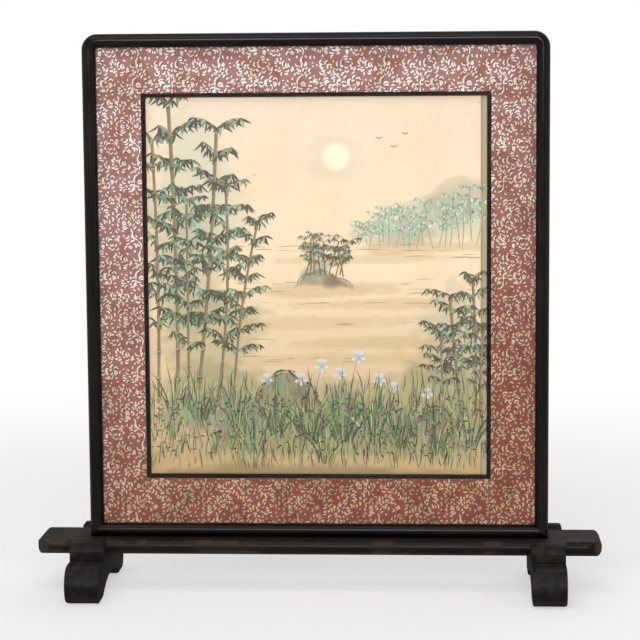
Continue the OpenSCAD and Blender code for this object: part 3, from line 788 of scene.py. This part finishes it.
class Brush:
    """Lays strokes over the paper's middle in millimetres, each a hair above those it crosses.
    Their sides take on some of the wash below, by soak."""

    def __init__(self, seed, washes, soak=0.17):
        self.washes = washes
        self.soak = soak
        self.shape = bmesh.new()
        self.layer = self.shape.verts.layers.float_color.new("ink")
        self.levels = {}
        self.hand = random.Random(seed)
        self.pick = self.hand.uniform

    def draw(self, path, width, start, finish, full=0.5, shade=0, steps=6):
        """A stroke that is widest where full of its length is run, shaded across its width."""
        power = log(0.5) / log(full)

        def half_width(t):
            return width / 2 * max(sin(pi * (0.03 + 0.94 * t) ** power), 0.05) ** 0.8

        self.colour(lay_stroke(self.shape, path, half_width, steps=steps), start, finish, shade)

    def sweep(self, root, turn, reach, bend, *look, **more):
        """A bowed stroke from its root to the point at that angle and reach."""
        self.draw(bow(root, spoke(root, turn, reach), bend), *look, **more)

    def band(self, path, width, start, finish, shade=0, steps=4):
        """A stroke of nearly even width, a little flared at both ends."""
        strip = lay_stroke(self.shape, path, lambda t: width / 2 * (1 + 0.16 * (2 * t - 1) ** 4), steps=steps)
        self.colour(strip, start, finish, shade)

    def level_over(self, strip, columns):
        """The first free level over all the strokes in the cells that a strip passes through."""
        cells = set()
        for k, corner in enumerate(strip):
            onward = strip[k + 1].co if (k + 1) % columns else corner.co
            for share in (0, 0.35, 0.7):
                spot = corner.co.lerp(onward, share) / level_cell
                cells.add((round(spot.x), round(spot.z)))
        level = 1 + max(self.levels.get(cell, 0) for cell in cells)
        self.levels.update(dict.fromkeys(cells, level))
        return level

    def colour(self, strip, start, finish, shade):
        start, finish = Vector(start), Vector(finish)
        columns = len(strip) // 3
        lift = self.level_over(strip, columns) * stroke_lift
        for k, corner in enumerate(strip):
            t = (k % columns) / (columns - 1)
            side = k // columns - 1
            tone = start.lerp(finish, t) * (1 - shade * side) * (1 + 0.35 * shade * (1 - abs(side)))
            below = self.washes.at(corner.co.x, corner.co.z)
            corner[self.layer] = (*tone.lerp(below, self.soak * (1 if side else 0.2)), 1)
            corner.co.y -= lift

    def vary(self, colour, amount=0.18):
        return Vector(colour) * self.pick(1 - amount, 1 + amount)

    def leaves(self, place, count, length, colours, spread=1.2, aim=-pi / 2):
        """A hanging tuft of bamboo leaves from one point."""
        for k in range(count):
            turn = aim + spread * ((k + 0.5) / count * 2 - 1) + self.pick(-0.25, 0.25)
            reach = length * self.pick(0.6, 1.1)
            colour = self.vary(self.hand.choice(colours), 0.3)
            self.sweep(place, turn, reach, self.pick(-0.1, 0.1), length * self.pick(0.16, 0.25),
                       colour, colour * 1.5, 0.38, 0.15, 3)

    def culm(self, foot, top, width, joints, dark, light, colours, length, tufts):
        """A bamboo stem in joints, with leaf-bearing twigs from all but its lowest ones."""
        line = bow(foot, top, self.pick(-0.03, 0.03))
        for k in range(joints):
            low, high = line((k + 0.02) / joints), line((k + 0.98) / joints)
            self.band(bow(low, high, 0), width, self.vary(light), Vector(light) * 0.75, 0.45)
            across = Vector((width * 0.6, 0.15 * width))
            self.band(bow(high - across, high + across, -0.12), 0.22 * width + 0.2, dark, dark, steps=2)
            if k < joints // 4:
                continue
            for side in (-1, 1):
                turn = pi / 2 - side * self.pick(0.6, 1.3)
                twig = bow(high, spoke(high, turn, length * self.pick(1.2, 2.6)), side * 0.12)
                self.draw(twig, 0.16 * width + 0.25, dark, dark, 0.3, steps=3)
                for share in range(1, tufts + 1):
                    self.leaves(twig(share / tufts), self.hand.choice((3, 4, 5)), length, colours)

    def rock(self, outline):
        """Broken outlines, cracks that run down from them and dots of moss on top."""
        size = max(spot[1] - outline[0][1] for spot in outline) / 26
        for k in range(len(outline) - 1):
            start, finish = Vector(outline[k]), Vector(outline[k + 1])
            self.draw(bow(start, finish, 0.12 * (-1) ** k), self.pick(1.1, 1.9) * size, ink, umber, 0.35)
            for _ in range(5):
                spot = start.lerp(finish, self.hand.random()) - Vector((0, self.pick(0.5, 7) * size))
                tone = self.vary(umber, 0.5)
                turn = -pi / 2 + self.pick(-0.8, 0.6)
                self.sweep(spot, turn, self.pick(3, 10) * size, self.pick(-0.2, 0.2),
                           self.pick(0.5, 1.1) * size, tone, tone * 1.8, 0.3, steps=4)
            for _ in range(6):
                spot = start.lerp(finish, self.hand.random()) + Vector((0, self.pick(-2.5, 1.5) * size))
                self.sweep(spot, self.pick(-0.6, 0.6), 2 * size, 0, 1.4 * size, deep_green, ink, 0.5,
                           steps=3)

    def blades(self, root, count, length, dark, light):
        """A clump of long arching blades, with the shorter ones outside."""
        for k in range(count):
            lean = (k + 0.5) / count * 2 - 1 + self.pick(-0.15, 0.15)
            reach = length * (1 - 0.35 * abs(lean)) * self.pick(0.6, 1.1)
            colour = self.vary(dark, 0.3) if k % 2 else self.vary(light, 0.3)
            start = Vector(root) + Vector((lean * length * 0.12, self.pick(-1.5, 1.5)))
            self.sweep(start, pi / 2 - lean * 0.8, reach, lean * 0.14, length * self.pick(0.02, 0.04),
                       colour, colour * 1.7, 0.34, 0.2)

    def blossom(self, place, size):
        """An iris: three pale upright petals and three deeper hanging ones on a short neck."""
        for turn in (1, 1.57, 2.15):
            self.sweep(place, turn, size, 0, size * 0.5, petal_blue, petal_pale, 0.6, 0.15)
        for turn in (-0.35, -1.5, -2.8):
            self.sweep(place, turn, size * 0.95, 0.12, size * 0.55, self.vary(petal_blue), petal_pale,
                       0.62, 0.2)
        self.sweep(place, -1.5, size * 0.45, 0, 0.8, ochre, ochre, 0.5, steps=3)


# The brushwork: bamboo groves beside still water, in ink and colour over the washes. The far
# grove comes first, then the islet, the near groves, iris clumps and the reeds of the bank.
# All of it is in millimetres from the board's middle.
stroke_lift = 0.001
level_cell = 4
stroke_clear = 0.01 * mm
brush_seed = 11
paper_grain = (0.62, 0.5, 0.34, 1)
far_leaves = (far_teal, teal, (0.3, 0.38, 0.28))
near_leaves = (deep_green, ink, leaf_green, ink, deep_green, teal)
reed_tones = (deep_green, leaf_green, moss_green, umber, leaf_green, ink)
pale_culm = (0.38, 0.38, 0.24)
ripple_tone = (0.34, 0.26, 0.16)
far_culms, ripples, islet_culms, reeds, moss_dots = 20, 60, 9, 1100, 420
ripple_heights = (27, 21, 4, -3, -12, -26, -40, -52)
moss_heights = (-84, -92, -104, -116)
# Each near culm has its foot, top, width and leaf length, and stands round a rock.
left_grove = (((-114, -84), (-116, 104), 2.2, 8), ((-100, -88), (-104, 128), 2.7, 9),
              ((-86, -84), (-70, 112), 2.5, 9), ((-72, -86), (-64, 70), 2, 8),
              ((-60, -84), (-42, 44), 1.7, 7), ((-92, -86), (-92, 60), 1.7, 7))
right_grove = (((112, -92), (110, 4), 2, 7), ((102, -94), (94, -8), 2.2, 7),
               ((90, -90), (88, -32), 1.6, 6), ((116, -96), (118, -30), 1.6, 6))
# Each clump of blades has its root, count and length, and each iris its root, place and size.
clumps = (((-104, -88), 12, 34), ((-84, -96), 14, 40), ((-58, -98), 14, 38), ((-30, -104), 16, 44),
          ((-6, -110), 18, 48), ((18, -112), 18, 52), ((40, -112), 16, 46), ((58, -116), 14, 38),
          ((84, -120), 14, 36), ((108, -116), 14, 44), ((-46, -120), 16, 36), ((4, -126), 16, 38))
irises = (((-30, -106), (-36, -66), 4.6), ((-6, -112), (-12, -66), 5), ((-2, -112), (3, -56), 5.4),
          ((18, -114), (16, -62), 4.8), ((22, -114), (29, -50), 5.4), ((40, -114), (44, -66), 5),
          ((44, -114), (54, -72), 4.6), ((84, -118), (78, -76), 4.4))
birds = ((42, 104), (52, 98), (60, 107))


def paint_bamboo_stream(washes):
    brush = Brush(brush_seed, washes)
    hand, pick = brush.hand, brush.pick
    for k in range(far_culms):
        foot = Vector((30 + 4.6 * k + pick(-2, 2), 29 + pick(-2.5, 2.5)))
        top = foot + Vector((pick(-6, 6), 12 + 1.2 * k + pick(-4, 8)))
        brush.culm(foot, top, 0.8, 4, umber, pale_culm, far_leaves, 3.6, 2)
    for _ in range(ripples):
        left = Vector((pick(-70, 110), hand.choice(ripple_heights) + pick(-2.5, 2.5)))
        tone = brush.vary(ripple_tone, 0.35)
        brush.draw(bow(left, left + Vector((pick(5, 26), pick(-0.6, 0.6))), 0.03), pick(0.4, 0.9),
                   tone, tone * 1.5, 0.4, steps=4)
    brush.rock(islet_rock)
    for k in range(islet_culms):
        foot = Vector((-8 + 3.4 * k + pick(-1, 1), 6 + pick(-1, 3)))
        top = foot + Vector((pick(-7, 7), pick(13, 30)))
        brush.culm(foot, top, 0.9, 4, ink, umber, near_leaves, 3.8, 2)
    for grove, joints, tufts, outline in ((left_grove, 10, 4, left_rock), (right_grove, 8, 3, right_rock)):
        for foot, top, width, length in grove:
            brush.culm(foot, top, width, joints, ink, culm_brown, near_leaves, length, tufts)
        brush.rock(outline)
    for root, count, length in clumps:
        brush.blades(root, count, length, deep_green, hand.choice((leaf_green, moss_green)))
    for root, place, size in irises:
        brush.draw(bow(root, place, 0.05), 0.9, deep_green, leaf_green, 0.3)
        brush.blossom(place, size)
    for _ in range(reeds):
        root = Vector((pick(-121, 121), -131 + 58 * hand.random() ** 1.15))
        tone = brush.vary(hand.choice(reed_tones), 0.3)
        brush.sweep(root, pi / 2 + pick(-0.3, 0.3), pick(5, 20), pick(-0.1, 0.1), pick(0.4, 1), tone,
                    tone * 1.5, 0.35, steps=3)
    for _ in range(moss_dots):
        spot = Vector((pick(-121, 121), hand.choice(moss_heights) + pick(-5, 5)))
        brush.sweep(spot, pick(-0.9, 0.9), pick(1.5, 4), 0.15, pick(0.6, 1.3), ink,
                    brush.vary(deep_green, 0.4), 0.4, steps=3)
    for left, low in birds:
        for start, finish in ((1.5, 0), (0, 1.5)):
            right = left + 2.6
            brush.draw(bow((left, low + start), (right, low + finish), 0.2), 0.7, ink, ink, steps=3)
            left = right
    place = Matrix.Translation((board_middle.x, board_low.y - stroke_clear, board_middle.z))
    bmesh.ops.transform(brush.shape, matrix=place @ Matrix.Scale(mm, 4), verts=brush.shape.verts)
    trim(brush.shape, picture_low, picture_high)
    return brush.shape


def painted_paper():
    """Washed paper with its fibres, foxing specks and the pale band at its right edge."""
    material, tree, shader = start_material("painted_paper", 0.2)
    place = object_place(tree)
    x, y, z = add(tree, "SeparateXYZ", {0: place}).outputs
    washed = add(tree, "Attribute", attribute_name="wash").outputs["Color"]
    fibre = mottle(tree, 700, 4, 0.7)
    age = mottle(tree, 16, 5, 0.6)
    spots = add(tree, "TexVoronoi", {"Vector": place, "Scale": 85, "Randomness": 1})
    wild = mottle(tree, 90, 2)
    spot = times(tree, fade(tree, spots.outputs["Distance"], 0.04, 0.11, 1, 0),
                 fade(tree, wild, 0.48, 0.62))
    aged = blend(tree, fade(tree, age, 0.35, 0.75, 0, 0.5), white, paper_aged)
    mottled = blend(tree, fade(tree, fibre, 0.3, 0.7), aged, paper_fibre, "MULTIPLY")
    colour = blend(tree, 1, washed, mottled, "MULTIPLY")
    colour = blend(tree, times(tree, spot, 0.5), colour, foxing)
    line, outer = [board_middle.x + across * mm for across in (band_line, band_outer)]
    ramp = add(tree, "ValToRGB", {"Fac": fade(tree, x, line, outer)})
    dark, pale = ramp.color_ramp.elements
    dark.color = band_tan
    pale.color = band_pale
    pale.position = band_dark_share
    edge = fade(tree, x, line - band_soft, line)
    cover(tree, shader, blend(tree, edge, colour, ramp.outputs["Color"]),
          fade(tree, fibre, 0.3, 0.7, 0.68, 0.86), fibre, 0.25, fibre_depth)
    return material


def brush_colour():
    """Ink and colour that let the paper's grain through."""
    material, tree, shader = start_material("brush_colour", 0.15)
    grain = mottle(tree, 1100, 3)
    inked = add(tree, "Attribute", attribute_name="ink").outputs["Color"]
    colour = blend(tree, fade(tree, grain, 0.5, 0.75, 0, 0.25), inked, paper_grain)
    give(tree, [shader.inputs["Base Color"], shader.inputs["Roughness"]],
         colour, fade(tree, grain, 0.3, 0.7, 0.6, 0.85))
    return material


def raw_card(name, light, dark):
    """Bare card: flat fibres in two close tones."""
    material, tree, shader = start_material(name, 0.2)
    fibre = mottle(tree, 520, 5, 0.7)
    cloud = mottle(tree, 24, 3)
    share = times(tree, fade(tree, fibre, 0.3, 0.7), fade(tree, cloud, 0.3, 0.7, 0.5))
    cover(tree, shader, blend(tree, share, light, dark), fade(tree, fibre, 0.3, 0.7, 0.75, 0.92),
          fibre, 0.3, fibre_depth)
    return material


board_back = raw_card("board_back", *board_tones)
painted_board = make_object("painted_board", board_shape(), [painted_paper(), board_back])
washes = Washes(painted_board.data)
wash_paper(washes)
wash_layer = painted_board.data.color_attributes.new("wash", "FLOAT_COLOR", "POINT")
wash_layer.data.foreach_set("color", np.column_stack((washes.colours, np.ones(len(washes.u)))).ravel())
brush_strokes = make_object("brush_strokes", paint_bamboo_stream(washes), [brush_colour()])
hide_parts("picture_board")
for piece in (painted_board, brush_strokes):
    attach(piece, "panel")


# The cards behind the cloth and the board: a cream mat, and brown card that packs the
# board out. They only show at their edges when the panel is taken apart.
cream_tones = ((0.78, 0.74, 0.63, 1), (0.66, 0.61, 0.5, 1))
brown_tones = ((0.42, 0.32, 0.2, 1), (0.31, 0.22, 0.13, 1))
finish_nodes(raw_card("mat_card", *cream_tones), "mat_board")
finish_nodes(raw_card("brown_card", *brown_tones), "spacer_frame", "packing_card")


# The pane: clear picture glass, two millimetres thick, with the faintest smears. Lamps
# shine straight through it, and it mirrors the room a little.
glass_colour = (0.975, 0.985, 0.98, 1)
glass_clear = (0.97, 0.98, 0.975, 1)
glass_ior = 1.15


def pane_glass():
    material, tree, glass = start_material("pane_glass", Base_Color=glass_colour, Transmission_Weight=1,
                                           IOR=glass_ior)
    smear = mottle(tree, 9, 4)
    tree.links.new(fade(tree, smear, 0.5, 0.8, 0, 0.04), glass.inputs["Roughness"])
    rays = add(tree, "LightPath").outputs
    lamp_light = reckon(tree, "MAXIMUM", rays["Is Shadow Ray"], rays["Is Diffuse Ray"])
    clear = add(tree, "BsdfTransparent", {"Color": glass_clear})
    mixed = add(tree, "MixShader", {0: lamp_light, 1: glass.outputs[0], 2: clear.outputs[0]})
    tree.links.new(mixed.outputs[0], tree.nodes["Material Output"].inputs["Surface"])
    return material


finish_nodes(pane_glass(), "pane")


# The back: a thin plywood board, its grain upright, a little stained, that the four
# turn buttons hold in the rebate.
early_wood = (0.5, 0.34, 0.185, 1)
late_wood = (0.335, 0.2, 0.095, 1)
stain_brown = (0.24, 0.14, 0.07, 1)
ply_pore_depth = 0.0002


def plywood():
    material, tree, shader = start_material("back_plywood", 0.25)
    along = stretch(tree, object_place(tree), (60, 60, 2.6))
    bands = mottle(tree, 0.5, 4, distortion=1.2, place=along)
    pores = mottle(tree, 14, 3, 0.7, place=along)
    stain = mottle(tree, 9, 5)
    rings = reckon(tree, "FRACT", times(tree, bands, 7))
    grain = plus(tree, fade(tree, rings, 0, 1, 0, 0.55), fade(tree, pores, 0.4, 0.75, 0, 0.45))
    colour = blend(tree, grain, early_wood, late_wood)
    colour = blend(tree, fade(tree, stain, 0.5, 0.75, 0, 0.45), colour, stain_brown)
    cover(tree, shader, colour, fade(tree, pores, 0.3, 0.7, 0.55, 0.75), pores, 0.35, ply_pore_depth)
    return material


finish_nodes(plywood(), "back_board")
